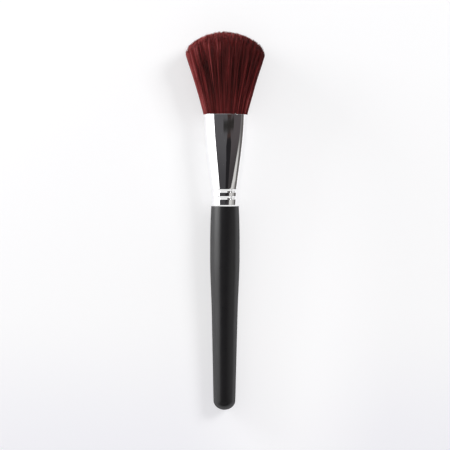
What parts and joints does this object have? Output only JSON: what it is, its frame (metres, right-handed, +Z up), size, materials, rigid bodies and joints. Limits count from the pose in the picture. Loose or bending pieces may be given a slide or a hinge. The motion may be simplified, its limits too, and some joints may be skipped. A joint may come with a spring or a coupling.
{
  "type": "powder brush",
  "caption": "Powder brush with a fanned, domed hair tuft, a bright crimped ferrule with an oval mouth, and a slim turned handle with a rounded butt.",
  "frame": {"origin": "on the resting surface, under the middle of the brush's bounding box", "axes": "+Y along the brush from its butt to its tuft, +X across its width, +Z up from the surface that it lies on; its axis rises 1.9 degrees towards the tuft"},
  "size_m": [0.0372, 0.1819, 0.0223],
  "materials": {
    "black_lacquer": "matte black lacquer",
    "clear_glue": "clear set glue",
    "bright_metal": "polished and bright plated",
    "amber_resin": "cast resin",
    "cream_thread": "waxed thread",
    "wine_fibre": "soft dyed fibre"
  },
  "bodies": {
    "root": {"handle": "black_lacquer", "handle_glue": "clear_glue", "ferrule": "bright_metal", "root_resin": "amber_resin", "binding_thread": "cream_thread", "bristle_tuft": "wine_fibre"}
  },
  "joints": []
}
